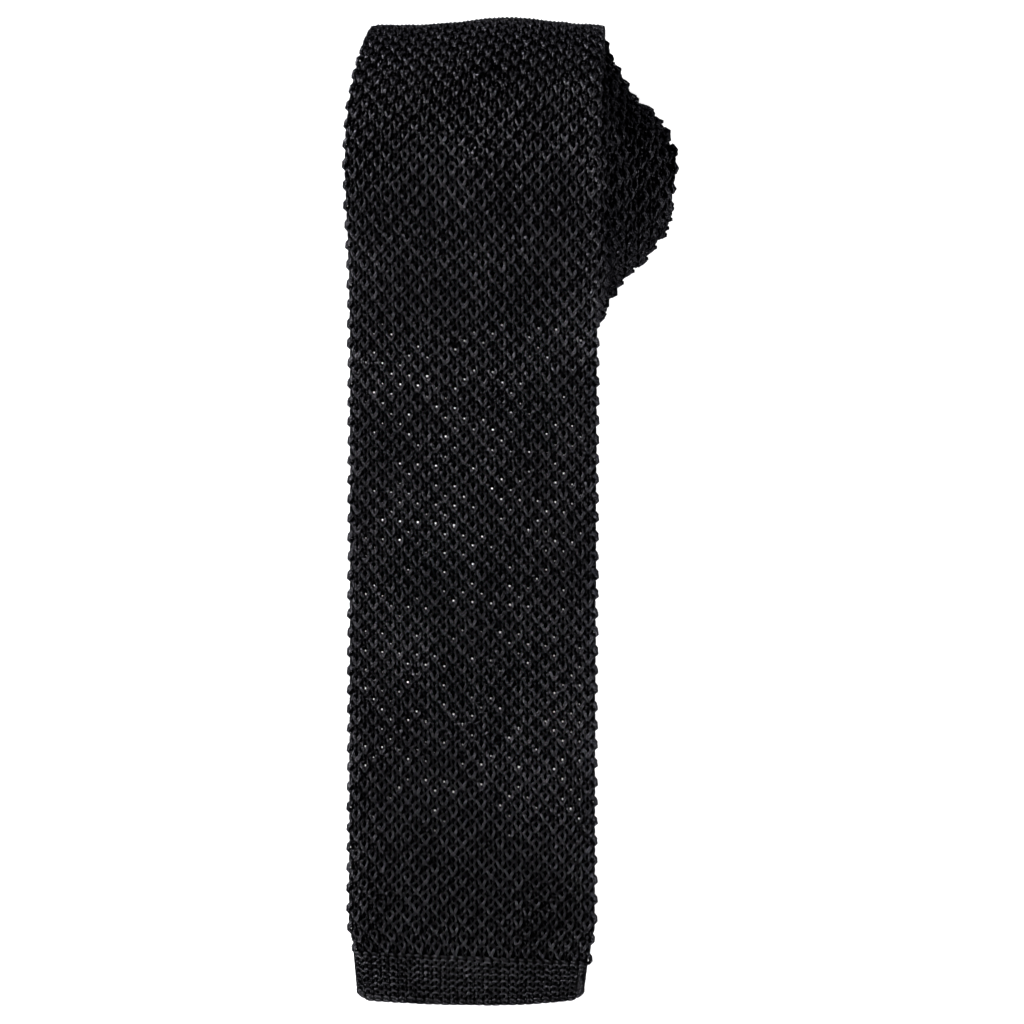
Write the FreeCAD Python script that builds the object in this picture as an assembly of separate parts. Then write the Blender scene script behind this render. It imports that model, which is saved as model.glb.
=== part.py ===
"""Knitted necktie with a square end, rolled up from its tail, with the front blade drawn out of the roll.

The tie is one long flattened knitted tube. Seen from the side it follows one path: flat on the table at the
tip, up a ramp, over the roll and then inwards in a spiral. Each node is a stretch of that path, extruded
across the tie. X runs across the blade, Y along it towards the roll, Z up. Millimetres.
"""

import FreeCAD, Part

import math
import os

# The knitted tube
THICKNESS = 2.4
BLADE_WIDTH = 60.0
NECK_WIDTH = 40.0
TAIL_WIDTH = 50.0

# The roll: half circles joined by short flats at its top and bottom
ROLL_HEIGHT = 66.0
ROLL_FLAT = 6.0
TURN_PITCH = 2.9
TURNS = 9.5

# The drawn-out blade
BLADE_REACH = 239.0
RAMP_ANGLE = 24.0
FOOT_RADIUS = 110.0

# How far the right edge stands out past the blade's on each half turn of the first turn of the roll, and on
# each whole turn after it, with the width of the tie there: the roll opens out to the right like a telescope
CREST_SHIFT = 0.8
FIRST_TURN_SHIFT = 1.7
INNER_TURNS = [
    ("front_blade_turn_2", BLADE_WIDTH - 2, 2.3),
    ("neck_turn_1", NECK_WIDTH + 12, 3.6),
    ("neck_turn_2", NECK_WIDTH + 3, 4.9),
    ("neck_turn_3", NECK_WIDTH, 6.9),
    ("tail_turn_1", NECK_WIDTH + 2, 9.7),
    ("tail_turn_2", TAIL_WIDTH - 4, 13.2),
    ("tail_turn_3", TAIL_WIDTH, 15.4),
    ("tail_turn_4", TAIL_WIDTH, 17.3),
    ("tail_turn_5", TAIL_WIDTH, 18.5),
]

# Where the blade folds, as distances along the path from the tip, and the gaps left there
FOLD_TIP = 47.0
FOLD_LOWER = 96.0
FOLD_UPPER = 146.0
FOLD_LIFT_BACK = 3.0
FOLD_GAP = 0.9
LIFT_GAP = 2.0
TURN_GAP = 0.6

# The turned-up hems
HEM_DEPTH = 12.0
HEM_WIDTH = 56.0
TAIL_HEM_WIDTH = 47.0
HEM_THICKNESS = 2.8
HEM_LAYER = 0.65
TURNING_THICKNESS = 1.2
STITCH_RADIUS = 0.25
HEM_STITCHES = 14
HEM_STITCH_PITCH = 3.8
HEM_STITCH_LENGTH = 2.6

# The keeper loop, a ribbon sewn across the back of the blade at its two ends. The roll presses it flat.
KEEPER_AT = 228.0
KEEPER_WIDTH = 52.0
KEEPER_DEPTH = 12.0
KEEPER_RIBBON = 0.35
TACK_WIDTH = 1.4
TACK_DEPTH = 9.0

# The care label, a satin tab sewn to the back of the blade along its edge nearer the tip
LABEL_AT = 238.0
LABEL_WIDTH = 18.0
LABEL_LENGTH = 14.0
LABEL_THICKNESS = 0.2
LABEL_STITCHES = 5
LABEL_STITCH_RADIUS = 0.1

Vector = FreeCAD.Vector
HALF = THICKNESS / 2
OUTER_RADIUS = (ROLL_HEIGHT - THICKNESS) / 2
ANGLE = math.radians(RAMP_ANGLE)


def turned(point, heading, distance, sideways=0.0):
    """The (y, z) point at a distance along a heading, and sideways to its left."""
    y = point[0] + distance * math.cos(heading) - sideways * math.sin(heading)
    z = point[1] + distance * math.sin(heading) + sideways * math.cos(heading)
    return (y, z)


class Run:
    """A straight run of the path."""

    def __init__(self, start, heading, length):
        self.start = start
        self.heading = heading
        self.length = length

    def at(self, distance):
        return turned(self.start, self.heading, distance), self.heading

    def part(self, low, high):
        return Run(self.at(low)[0], self.heading, high - low)

    def side(self, offset):
        start = turned(self.start, self.heading, 0.0, offset)
        end = turned(self.start, self.heading, self.length, offset)
        return Part.LineSegment(point3(start), point3(end)).toShape()


class Bend:
    """An arc of the path: a positive bend turns left, which is upwards on the way to the roll."""

    def __init__(self, start, heading, radius, bend):
        self.start = start
        self.heading = heading
        self.radius = radius
        self.bend = bend
        self.length = radius * abs(bend)
        self.turn = math.copysign(1.0, bend)
        self.centre = turned(start, heading, 0.0, self.turn * radius)

    def at(self, distance, offset=0.0):
        heading = self.heading + self.turn * distance / self.radius
        return turned(self.centre, heading, 0.0, -self.turn * self.radius + offset), heading

    def part(self, low, high):
        start, heading = self.at(low)
        return Bend(start, heading, self.radius, self.turn * (high - low) / self.radius)

    def side(self, offset):
        start, middle, end = [self.at(self.length * share, offset)[0] for share in (0.0, 0.5, 1.0)]
        return Part.Arc(point3(start), point3(middle), point3(end)).toShape()


def point3(point, x=0.0):
    return Vector(x, point[0], point[1])


class Path:
    """The middle line of the tie, from the tip to the end of the tail at the core of the roll."""

    def __init__(self, start):
        self.place = start
        self.heading = 0.0
        self.pieces = []
        self.length = 0.0

    def add(self, piece):
        self.pieces.append(piece)
        self.length += piece.length
        self.place, self.heading = piece.at(piece.length)

    def straight(self, length):
        self.add(Run(self.place, self.heading, length))

    def bend(self, radius, bend):
        self.add(Bend(self.place, self.heading, radius, bend))

    def at(self, distance):
        for piece in self.pieces:
            if distance <= piece.length:
                return piece.at(distance)
            distance -= piece.length
        return self.pieces[-1].at(self.pieces[-1].length)

    def between(self, low, high):
        """The runs and bends from one distance along the path to another."""
        found = []
        passed = 0.0
        for piece in self.pieces:
            first = max(low - passed, 0.0)
            last = min(high - passed, piece.length)
            if last - first > 1e-6:
                found.append(piece.part(first, last))
            passed += piece.length
        return found


def tie_path():
    """The whole path and the distances at which each turn of the roll starts."""
    drop = ROLL_HEIGHT / 2 + OUTER_RADIUS * math.cos(ANGLE) - HALF
    ramp = (drop - FOOT_RADIUS * (1 - math.cos(ANGLE))) / math.sin(ANGLE)
    roll_centre = BLADE_REACH - HALF - OUTER_RADIUS - ROLL_FLAT / 2
    leaves_at = roll_centre - ROLL_FLAT / 2 - OUTER_RADIUS * math.sin(ANGLE)
    foot = leaves_at - ramp * math.cos(ANGLE) - FOOT_RADIUS * math.sin(ANGLE)
    path = Path((0.0, HALF))
    path.straight(foot)
    path.bend(FOOT_RADIUS, ANGLE)
    path.straight(ramp)
    lift = path.length
    path.bend(OUTER_RADIUS, -ANGLE)
    turns = []
    radius = OUTER_RADIUS
    for _ in range(int(TURNS)):
        turns.append(path.length)
        path.straight(ROLL_FLAT)
        path.bend(radius, -math.pi)
        path.straight(ROLL_FLAT)
        path.bend(radius - TURN_PITCH / 2, -math.pi)
        radius -= TURN_PITCH
    turns.append(path.length)
    path.straight(ROLL_FLAT)
    path.bend(radius, -math.pi)
    turns.append(path.length)
    return path, foot, lift, turns


def strip(path, low, high, x_low, x_high, thickness=THICKNESS, offset=0.0, round_low=False, round_high=False):
    """A stretch of the path made solid. Its rounded ends leave the next stretch room to fold."""
    half = thickness / 2
    low_end = low + half if round_low else low
    high_end = high - half if round_high else high
    pieces = path.between(low_end, high_end)
    edges = [piece.side(offset + half) for piece in pieces]
    edges += [piece.side(offset - half) for piece in pieces]
    edges.append(end_cap(path, low_end, -1.0, half, offset, round_low))
    edges.append(end_cap(path, high_end, 1.0, half, offset, round_high))
    wire = Part.Wire(Part.__sortEdges__(edges))
    face = Part.Face(wire)
    face.translate(Vector(x_low, 0, 0))
    return face.extrude(Vector(x_high - x_low, 0, 0))


def end_cap(path, distance, outwards, half, offset, rounded):
    """The edge that closes one end of a stretch."""
    place, heading = path.at(distance)
    upper = point3(turned(place, heading, 0.0, offset + half))
    lower = point3(turned(place, heading, 0.0, offset - half))
    if not rounded:
        return Part.LineSegment(upper, lower).toShape()
    nose = point3(turned(place, heading, outwards * half, offset))
    return Part.Arc(upper, nose, lower).toShape()


def across(width, shift=0.0, base=BLADE_WIDTH):
    """The lowest and highest X of a stretch whose right edge stands shift past the blade's."""
    right = base / 2 + shift
    return right - width, right


def drawn_blade(path, lift):
    """The four stretches of the blade between the roll and the hem."""
    left, right = across(BLADE_WIDTH)
    folds = [HEM_DEPTH, FOLD_TIP, FOLD_LOWER, FOLD_UPPER, lift - FOLD_LIFT_BACK]
    gaps = [0.0, FOLD_GAP, FOLD_GAP, FOLD_GAP, LIFT_GAP]
    names = ["front_blade_end", "front_blade_lower", "front_blade_middle", "front_blade_upper"]
    for number, name in enumerate(names):
        low = folds[number] + gaps[number] / 2
        high = folds[number + 1] - gaps[number + 1] / 2
        yield name, strip(path, low, high, left, right, round_low=number > 0, round_high=True)


def roll_turns(path, lift, turns):
    """The turns of the roll, from the crest inwards. Each ends just short of the next."""
    leaves = lift - FOLD_LIFT_BACK + LIFT_GAP / 2
    half_way = turns[0] + ROLL_FLAT + math.pi * OUTER_RADIUS
    yield "front_blade_crest", strip(path, leaves, half_way, *across(BLADE_WIDTH, CREST_SHIFT), round_low=True)
    first_turn = strip(path, half_way, turns[1] - TURN_GAP, *across(BLADE_WIDTH, FIRST_TURN_SHIFT))
    yield "front_blade_turn_1", first_turn
    for number, (name, width, shift) in enumerate(INNER_TURNS, 1):
        last = number == len(INNER_TURNS)
        end = path.length - HEM_DEPTH if last else turns[number + 1] - TURN_GAP
        yield name, strip(path, turns[number], end, *across(width, shift))


def folded_hem(path, fold, inner, width, right, towards):
    """A hem: the knit folded round at the end of the tie, and the turning held inside the fold."""
    x_low, x_high = right - width, right
    low, high = min(fold, inner), max(fold, inner)
    lift = (HEM_THICKNESS - THICKNESS) / 2
    outer = strip(
        path, low, high, x_low, x_high, HEM_THICKNESS, lift,
        round_low=towards > 0, round_high=towards < 0,
    )
    inset = HEM_LAYER + 0.05
    pocket_low = low + inset if towards > 0 else low
    pocket_high = high if towards > 0 else high - inset
    pocket = strip(path, pocket_low, pocket_high, x_low, x_high, HEM_THICKNESS - 2 * HEM_LAYER, lift)
    turning_low = pocket_low + 0.05 if towards > 0 else pocket_low + 0.4
    turning_high = pocket_high - 0.4 if towards > 0 else pocket_high - 0.05
    turning = strip(path, turning_low, turning_high, x_low + 0.6, x_high - 0.6, TURNING_THICKNESS, lift)
    return outer.cut(pocket), turning


def stitch_row(path, distance, offset, count, pitch, length, radius=STITCH_RADIUS):
    """A row of short stitches across the tie, each a little lying cylinder."""
    place, heading = path.at(distance)
    y, z = turned(place, heading, 0.0, offset)
    stitches = []
    for number in range(count):
        x = (number - (count - 1) / 2) * pitch - length / 2
        stitches.append(Part.makeCylinder(radius, length, Vector(x, y, z), Vector(1, 0, 0)))
    return Part.makeCompound(stitches)


def keeper(path):
    """The keeper loop, flat on the back of the blade, and the tacks that sew its two ends down."""
    half = KEEPER_WIDTH / 2
    offset = -HALF - KEEPER_RIBBON / 2
    low, high = KEEPER_AT - KEEPER_DEPTH / 2, KEEPER_AT + KEEPER_DEPTH / 2
    ribbon = strip(path, low, high, -half, half, KEEPER_RIBBON, offset)
    tacks = []
    for x_low, x_high in ((-half - TACK_WIDTH, -half), (half, half + TACK_WIDTH)):
        low, high = KEEPER_AT - TACK_DEPTH / 2, KEEPER_AT + TACK_DEPTH / 2
        tacks.append(strip(path, low, high, x_low, x_high, KEEPER_RIBBON, offset))
    return ribbon, Part.makeCompound(tacks)


def care_label(path):
    """The care label and the stitches along its edge."""
    half = LABEL_WIDTH / 2
    back = -HALF - LABEL_THICKNESS
    label = strip(path, LABEL_AT, LABEL_AT + LABEL_LENGTH, -half, half, LABEL_THICKNESS, back + LABEL_THICKNESS / 2)
    pitch = LABEL_WIDTH / LABEL_STITCHES
    stitches = stitch_row(
        path, LABEL_AT + 1.0, back - LABEL_STITCH_RADIUS, LABEL_STITCHES, pitch, pitch * 0.7, LABEL_STITCH_RADIUS
    )
    return label, stitches


def build():
    path, foot, lift, turns = tie_path()
    nodes = dict(drawn_blade(path, lift))
    nodes.update(roll_turns(path, lift, turns))
    nodes["front_hem"], nodes["front_hem_turning"] = folded_hem(path, 0.0, HEM_DEPTH, HEM_WIDTH, HEM_WIDTH / 2, 1)
    nodes["front_hem_stitches"] = stitch_row(
        path, HEM_DEPTH + 2, HALF + STITCH_RADIUS, HEM_STITCHES, HEM_STITCH_PITCH, HEM_STITCH_LENGTH
    )
    tail_edge = INNER_TURNS[-1][2] + BLADE_WIDTH / 2 - (TAIL_WIDTH - TAIL_HEM_WIDTH) / 2
    nodes["tail_hem"], nodes["tail_hem_turning"] = folded_hem(
        path, path.length, path.length - HEM_DEPTH, TAIL_HEM_WIDTH, tail_edge, -1
    )
    nodes["keeper_loop"], nodes["keeper_tacks"] = keeper(path)
    nodes["care_label"], nodes["care_label_stitches"] = care_label(path)
    return path, foot, lift, turns, nodes


def main():
    os.makedirs("parts", exist_ok=True)
    path, foot, lift, turns, nodes = build()
    whole = Part.makeCompound(list(nodes.values())).BoundBox
    move = Vector(-whole.Center.x, -whole.Center.y, -whole.ZMin)
    for name, shape in nodes.items():
        shape.translate(move)
        shape.exportStep(os.path.join("parts", name + ".step"))
        box = shape.BoundBox
        print(f"{name:22s} solids {len(shape.Solids):2d} valid {shape.isValid()} volume {shape.Volume:9.1f}",
              f"x {box.XMin:6.1f} {box.XMax:6.1f} y {box.YMin:7.1f} {box.YMax:7.1f} z {box.ZMin:5.2f} {box.ZMax:5.2f}")
    print("moved by", move, "length of the tie", round(path.length, 1), "foot", round(foot, 2))
    for name, distance in (
        ("fold_tip", FOLD_TIP), ("fold_lower", FOLD_LOWER), ("fold_upper", FOLD_UPPER),
        ("fold_lift", lift - FOLD_LIFT_BACK),
    ):
        place, heading = path.at(distance)
        print(name, round(place[0] + move.y, 3), round(place[1] + move.z, 3), round(math.degrees(heading), 2))


main()
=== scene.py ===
"""Looks of the knitted necktie: real yarn loops over a dark core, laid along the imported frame.

The tie is one flattened knitted tube. A point of it has a distance along the tie from the tip, a place across
it and a height over its middle, and the same path as the CAD model's carries it into space. Metres.
"""

import math

import bpy
import numpy as np
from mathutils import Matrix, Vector


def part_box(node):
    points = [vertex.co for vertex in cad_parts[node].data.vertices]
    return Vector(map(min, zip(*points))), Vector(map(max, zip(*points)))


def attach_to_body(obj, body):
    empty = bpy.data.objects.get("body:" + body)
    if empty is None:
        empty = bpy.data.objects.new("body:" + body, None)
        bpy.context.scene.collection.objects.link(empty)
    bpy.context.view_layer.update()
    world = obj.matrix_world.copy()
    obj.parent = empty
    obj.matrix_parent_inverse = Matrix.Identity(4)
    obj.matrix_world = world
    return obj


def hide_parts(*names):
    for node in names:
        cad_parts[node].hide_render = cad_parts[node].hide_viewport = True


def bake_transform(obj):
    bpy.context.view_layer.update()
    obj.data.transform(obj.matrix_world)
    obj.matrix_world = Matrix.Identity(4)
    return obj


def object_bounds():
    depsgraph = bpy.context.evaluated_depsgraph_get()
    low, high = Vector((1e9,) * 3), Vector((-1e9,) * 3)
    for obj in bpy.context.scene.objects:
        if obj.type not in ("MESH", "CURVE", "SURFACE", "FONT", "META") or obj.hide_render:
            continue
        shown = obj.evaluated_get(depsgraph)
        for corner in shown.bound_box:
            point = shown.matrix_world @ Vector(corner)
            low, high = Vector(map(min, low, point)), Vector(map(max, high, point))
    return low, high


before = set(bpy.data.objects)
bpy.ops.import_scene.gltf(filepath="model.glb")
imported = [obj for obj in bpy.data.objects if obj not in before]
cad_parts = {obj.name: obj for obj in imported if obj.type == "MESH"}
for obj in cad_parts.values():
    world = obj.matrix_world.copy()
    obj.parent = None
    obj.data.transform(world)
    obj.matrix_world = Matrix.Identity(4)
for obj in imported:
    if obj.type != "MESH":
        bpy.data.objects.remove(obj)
CAD_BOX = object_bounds()

MM = 0.001

# The path of the tie, with the driving dimensions of the frame
THICKNESS = 2.4 * MM
ROLL_FLAT = 6.0 * MM
TURN_PITCH = 2.9 * MM
WHOLE_TURNS = 9
RAMP_ANGLE = math.radians(24.0)
FOOT_RADIUS = 110.0 * MM

# The knit: wales run along the tie and courses across it
WALES_AROUND = 56
EDGE_WALE = WALES_AROUND // 4
WALE = 2.138 * MM
COURSE = 2.42 * MM
COURSE_MIDDLE = 0.62
TIP_SKEW = 0.046
BODY_SKEW = 0.078
LAYER = 0.58 * MM
YARN = 0.42 * MM
CROWDING = 0.6 * MM
CORE_DEPTH = 0.35 * MM
BACK_SLIP = 0.40 * MM

# A loop: how far its legs stand from its middle in wales, how far it reaches each way in courses, how much
# more of both a proud stitch has, and in millimetres how far it arches and how high and low stitches stand.
# The loops on the back are flatter
LEG_SPREAD = 0.245
PROUD_SPREAD = 0.045
LOOP_REACH = 0.65
PROUD_REACH = 0.08
LOOP_ARCH = 0.33
PROUD_LIFT = 0.74
LOW_LIFT = 0.46
FLATTER_BEHIND = 0.55

# The pinholes where the table shows through both layers of the blade: their place in a stitch, their size,
# how many of the proud stitches are open, the patches where most are open, as middle across, middle along,
# half width and half length in millimetres, and the distances over which they start and stop
HOLE_CENTRE = 0.67
HOLE_WALES = 0.09
HOLE_COURSES = 0.095
OPEN_WITHIN = 1.0
OPEN_BETWEEN = 0.42
OPEN_PATCHES = [
    (-15, 166, 10, 16), (6, 146, 14, 14), (18, 126, 7, 17), (-18, 118, 12, 12),
    (8, 98, 6, 8), (-19, 69, 9, 18), (24, 70, 6, 26),
]
OPEN_FROM = (40 * MM, 54 * MM)
OPEN_TO = (168 * MM, 186 * MM)

# The front hem
HEM_START = 2.3 * MM
HEM_END = 13.7 * MM
HEM_ROWS = 7
HEM_WIDTH = 56.2 * MM
HEM_SHIFT = -0.5 * MM
HEM_WALES = 27
HEM_TAPER = 0.03
HEM_NECKING = 1.3 * MM
HEM_FOLD = 0.16
HEM_ARCH = 0.72
HEM_YARN = 0.50 * MM
HEM_CORE_DEPTH = 0.30 * MM
# Painted shade: the most painted light that the hems' arches get
HEM_PAINTED_LIGHT = 0.45

# The spacing of the core's rows where it has no holes
CORE_STEP = 2.0 * MM

# Painted shade: the loops next to the front hem are painted darker, and the edges of the first inner turns
# get a painted shadow where they lie beside the blade's edge
PAINTED_SHADE_AT_HEM = 0.30
PAINTED_SHADE_HEM_FADE = (20 * MM, 62 * MM)
PAINTED_SHADOW_BESIDE_EDGE = 0.60
PAINTED_SHADOW_EASE = 40 * MM

# The tail's hem
TAIL_HEM_DEPTH = 12.0 * MM
TAIL_HEM_WALES = 23

# The keeper loop and the care label on the back of the blade, with their distances from the tip
KEEPER_AT = 228.0 * MM
KEEPER_DEPTH = 12.0 * MM
KEEPER_RIBBON = 0.35 * MM
LABEL_AT = 238.0 * MM
LABEL_LENGTH = 14.0 * MM
LABEL_THICKNESS = 0.2 * MM
RIBBON_RING = 24
RIBBON_ROWS = 13

# How the roll sags: its inner turns lie nearer the tip, its far side is highest right of the middle, and the
# edges of its turns curl inwards
CORE_SAG = 2.4 * MM
NEAR_SAG = 3.2 * MM
FAR_DROP = 1.9 * MM
FAR_PEAK = 9.0 * MM
FAR_SAG = 0.5 * MM
CURL = 1.0 * MM
CURL_WIDTH = 4.0 * MM

# Where the blade folds, as distances from the tip, and how far a fold spreads each way
FOLD_TIP = 47.0 * MM
FOLD_LOWER = 96.0 * MM
FOLD_UPPER = 146.0 * MM
FOLD_LIFT_BACK = 3.0 * MM
FOLD_SPREAD = 13.0 * MM


def smooth(low, high, value):
    """0 below low, 1 above high and smooth between them."""
    share = np.clip((np.asarray(value, float) - low) / (high - low), 0.0, 1.0)
    return share * share * (3 - 2 * share)


# ---------------------------------------------------------------- the path


class Path:
    """The middle line of the tie, from the tip up the ramp, over the roll and in to its core."""

    def __init__(self, start_y, start_z):
        self.starts = []
        self.distance = 0.0
        self.y, self.z, self.heading = start_y, start_z, 0.0

    def add(self, length, curve=0.0):
        self.starts.append((self.distance, self.y, self.z, self.heading, curve))
        heading = self.heading + curve * length
        if curve:
            self.y += (math.sin(heading) - math.sin(self.heading)) / curve
            self.z -= (math.cos(heading) - math.cos(self.heading)) / curve
        else:
            self.y += length * math.cos(heading)
            self.z += length * math.sin(heading)
        self.heading = heading
        self.distance += length

    def at(self, distance):
        """The y, z and heading at each of an array of distances."""
        table = np.array(self.starts)
        row = np.clip(np.searchsorted(table[:, 0], distance, side="right") - 1, 0, len(table) - 1)
        start, y, z, first, curve = (table[row, column] for column in range(5))
        length = distance - start
        heading = first + curve * length
        bent = np.abs(curve) > 0
        safe = np.where(bent, curve, 1.0)
        y = y + np.where(bent, (np.sin(heading) - np.sin(first)) / safe, length * np.cos(first))
        z = z + np.where(bent, -(np.cos(heading) - np.cos(first)) / safe, length * np.sin(first))
        return y, z, heading


def tie_path():
    """The path that the frame's nodes follow, and where it leaves the ramp and starts each turn."""
    low, high = CAD_BOX
    height = high.z
    radius = (height - THICKNESS) / 2
    drop = height / 2 + radius * math.cos(RAMP_ANGLE) - THICKNESS / 2
    ramp = (drop - FOOT_RADIUS * (1 - math.cos(RAMP_ANGLE))) / math.sin(RAMP_ANGLE)
    centre = high.y - THICKNESS / 2 - radius - ROLL_FLAT / 2
    leaves_at = centre - ROLL_FLAT / 2 - radius * math.sin(RAMP_ANGLE)
    foot_end = leaves_at - ramp * math.cos(RAMP_ANGLE) - FOOT_RADIUS * math.sin(RAMP_ANGLE)
    path = Path(low.y, THICKNESS / 2)
    path.add(foot_end - low.y)
    path.add(FOOT_RADIUS * RAMP_ANGLE, 1 / FOOT_RADIUS)
    path.add(ramp)
    lift = path.distance
    path.add(radius * RAMP_ANGLE, -1 / radius)
    turns = []
    radii = []
    for _ in range(WHOLE_TURNS):
        turns.append(path.distance)
        radii.append(radius)
        path.add(ROLL_FLAT)
        path.add(math.pi * radius, -1 / radius)
        path.add(ROLL_FLAT)
        inner = radius - TURN_PITCH / 2
        path.add(math.pi * inner, -1 / inner)
        radius -= TURN_PITCH
    turns.append(path.distance)
    radii.append(radius)
    path.add(ROLL_FLAT)
    path.add(math.pi * radius, -1 / radius)
    return path, lift, turns, radii, centre


PATH, LIFT, TURNS, RADII, ROLL_Y = tie_path()
ROLL_Z = CAD_BOX[1].z / 2
END = PATH.distance

blade_low, blade_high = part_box("front_blade_middle")
BLADE_X = (blade_low.x + blade_high.x) / 2
BLADE_HALF = (blade_high.x - blade_low.x) / 2

tail_low, tail_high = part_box("tail_hem")
TAIL_MIDDLE = (tail_low.x + tail_high.x) / 2 - BLADE_X
TAIL_HEM_WIDTH = tail_high.x - tail_low.x


def edge_stations():
    """Distances along the tie with the places of its left and right edges, taken from the frame's turns."""
    # The blade is narrower at its hem, and its edges wander by a fraction of a millimetre
    stations = [0.0, HEM_END, HEM_END + 9 * MM, LIFT - 20 * MM, TURNS[0]]
    narrow = BLADE_HALF - HEM_NECKING
    left = [-narrow, -narrow, -BLADE_HALF - 0.4 * MM, -BLADE_HALF + 0.8 * MM, -BLADE_HALF - 0.1 * MM]
    right = [narrow, narrow, BLADE_HALF, BLADE_HALF, BLADE_HALF + 0.2 * MM]
    # Round the back of the roll the left edge is drawn in
    crest = TURNS[0] + ROLL_FLAT + RADII[0] * math.pi / 2
    first_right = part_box("front_blade_turn_1")[1].x - BLADE_X
    stations += [crest, crest + 60 * MM, TURNS[1] - 20 * MM]
    left += [-BLADE_HALF + 6.2 * MM, -BLADE_HALF + 5.0 * MM, -BLADE_HALF + 3.0 * MM]
    right += [first_right, first_right, first_right + 0.1 * MM]
    nodes = ["front_blade_turn_2", "neck_turn_1", "neck_turn_2", "neck_turn_3", "tail_turn_1",
             "tail_turn_2", "tail_turn_3", "tail_turn_4", "tail_turn_5"]
    for number, node in enumerate(nodes, 1):
        low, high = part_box(node)
        stop = TURNS[number + 1] if number + 1 < len(TURNS) else END
        stations.append((TURNS[number] + stop) / 2 - 0.15 * (stop - TURNS[number]))
        left.append(low.x - BLADE_X)
        right.append(high.x - BLADE_X)
    return np.array(stations), np.array(left), np.array(right)


STATIONS, LEFT_EDGE, RIGHT_EDGE = edge_stations()


def edges(distance):
    """The tie's middle and half width at each distance, eased between the stations."""
    row = np.clip(np.searchsorted(STATIONS, distance, side="right") - 1, 0, len(STATIONS) - 2)
    share = smooth(0.0, 1.0, (distance - STATIONS[row]) / (STATIONS[row + 1] - STATIONS[row]))
    left = LEFT_EDGE[row] + share * (LEFT_EDGE[row + 1] - LEFT_EDGE[row])
    right = RIGHT_EDGE[row] + share * (RIGHT_EDGE[row + 1] - RIGHT_EDGE[row])
    ripple = 0.50 * np.sin(distance / (6.1 * MM)) + 0.14 * np.sin(distance / (2.7 * MM) + 0.8)
    right = right + ripple * MM * smooth(TURNS[0], TURNS[1], distance)
    return (left + right) / 2, (right - left) / 2


# ---------------------------------------------------------------- the flattened tube


FLAT_HALF = EDGE_WALE * WALE - math.pi * LAYER / 2
FULL_HALF = FLAT_HALF + LAYER + YARN


def tube_section(around, layer=LAYER):
    """Where a place around the tube lies: across, up, and the way out of the fabric there.

    around is 0 in the middle of the front and grows to the right edge and on round the back.
    """
    side = np.where(around >= 0, 1.0, -1.0)
    past = np.abs(around) - EDGE_WALE * WALE
    quarter = math.pi * LAYER / 2
    angle = np.clip(past, -quarter, quarter) / LAYER
    straight = np.maximum(np.abs(past) - quarter, 0.0)
    across = side * (FLAT_HALF + layer * np.cos(angle) - straight)
    up = -layer * np.sin(angle)
    return across, up, side * np.cos(angle), -np.sin(angle)


def skew(distance):
    """How much the courses slope across the tie."""
    return TIP_SKEW + (BODY_SKEW - TIP_SKEW) * smooth(HEM_END, 95 * MM, distance)


def place(around, distance, height, keep_pitch):
    """Points of the tie in space and the direction out of the fabric at each.

    Where the tie narrows, keep_pitch keeps the wales' width and their distance from the nearer edge.
    """
    across, up, out_across, out_up = tube_section(around)
    across = across + height * out_across + CROWDING * np.sin(math.pi * across / BLADE_HALF)
    up = up + height * out_up
    along = distance - skew(distance) * across
    middle, half = edges(along)
    side = np.where(around >= 0, 1.0, -1.0)
    across = across + side * (half - FULL_HALF) if keep_pitch else across * (half / FULL_HALF)
    near_edge = np.clip((np.abs(across) - half) / CURL_WIDTH + 1, 0.0, 1.0)
    up = up - CURL * near_edge ** 2 * smooth(TURNS[0], TURNS[1], along)
    return carry(middle + across, along, up, out_across, out_up)


def carry(across, along, up, out_across, out_up):
    """Carries points from the laid-out tie onto its path."""
    y, z, heading = PATH.at(along)
    sine, cosine = np.sin(heading), np.cos(heading)
    points = np.stack([BLADE_X + across, y - sine * up, z + cosine * up], -1)
    out = np.stack([out_across, -sine * out_up, cosine * out_up], -1)
    return settle(points, along), out


def settle(points, along):
    """The soft roll's shape: the turns sag towards the tip, and the far side drops beside its peak."""
    y, z = points[..., 1] - ROLL_Y, points[..., 2] - ROLL_Z
    inside = 1 - smooth(0.5, 0.97, np.hypot(y, z) / RADII[0])
    beside = 1 - np.exp(-((points[..., 0] - BLADE_X - FAR_PEAK) / (13 * MM)) ** 2)
    far = smooth(0, RADII[0], y)
    near = smooth(0, RADII[0], -y) * (along > TURNS[0])
    settled = points.copy()
    settled[..., 1] -= CORE_SAG * inside + (FAR_DROP * beside + FAR_SAG) * far + NEAR_SAG * near
    return settled


# ---------------------------------------------------------------- meshes from arrays


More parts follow.
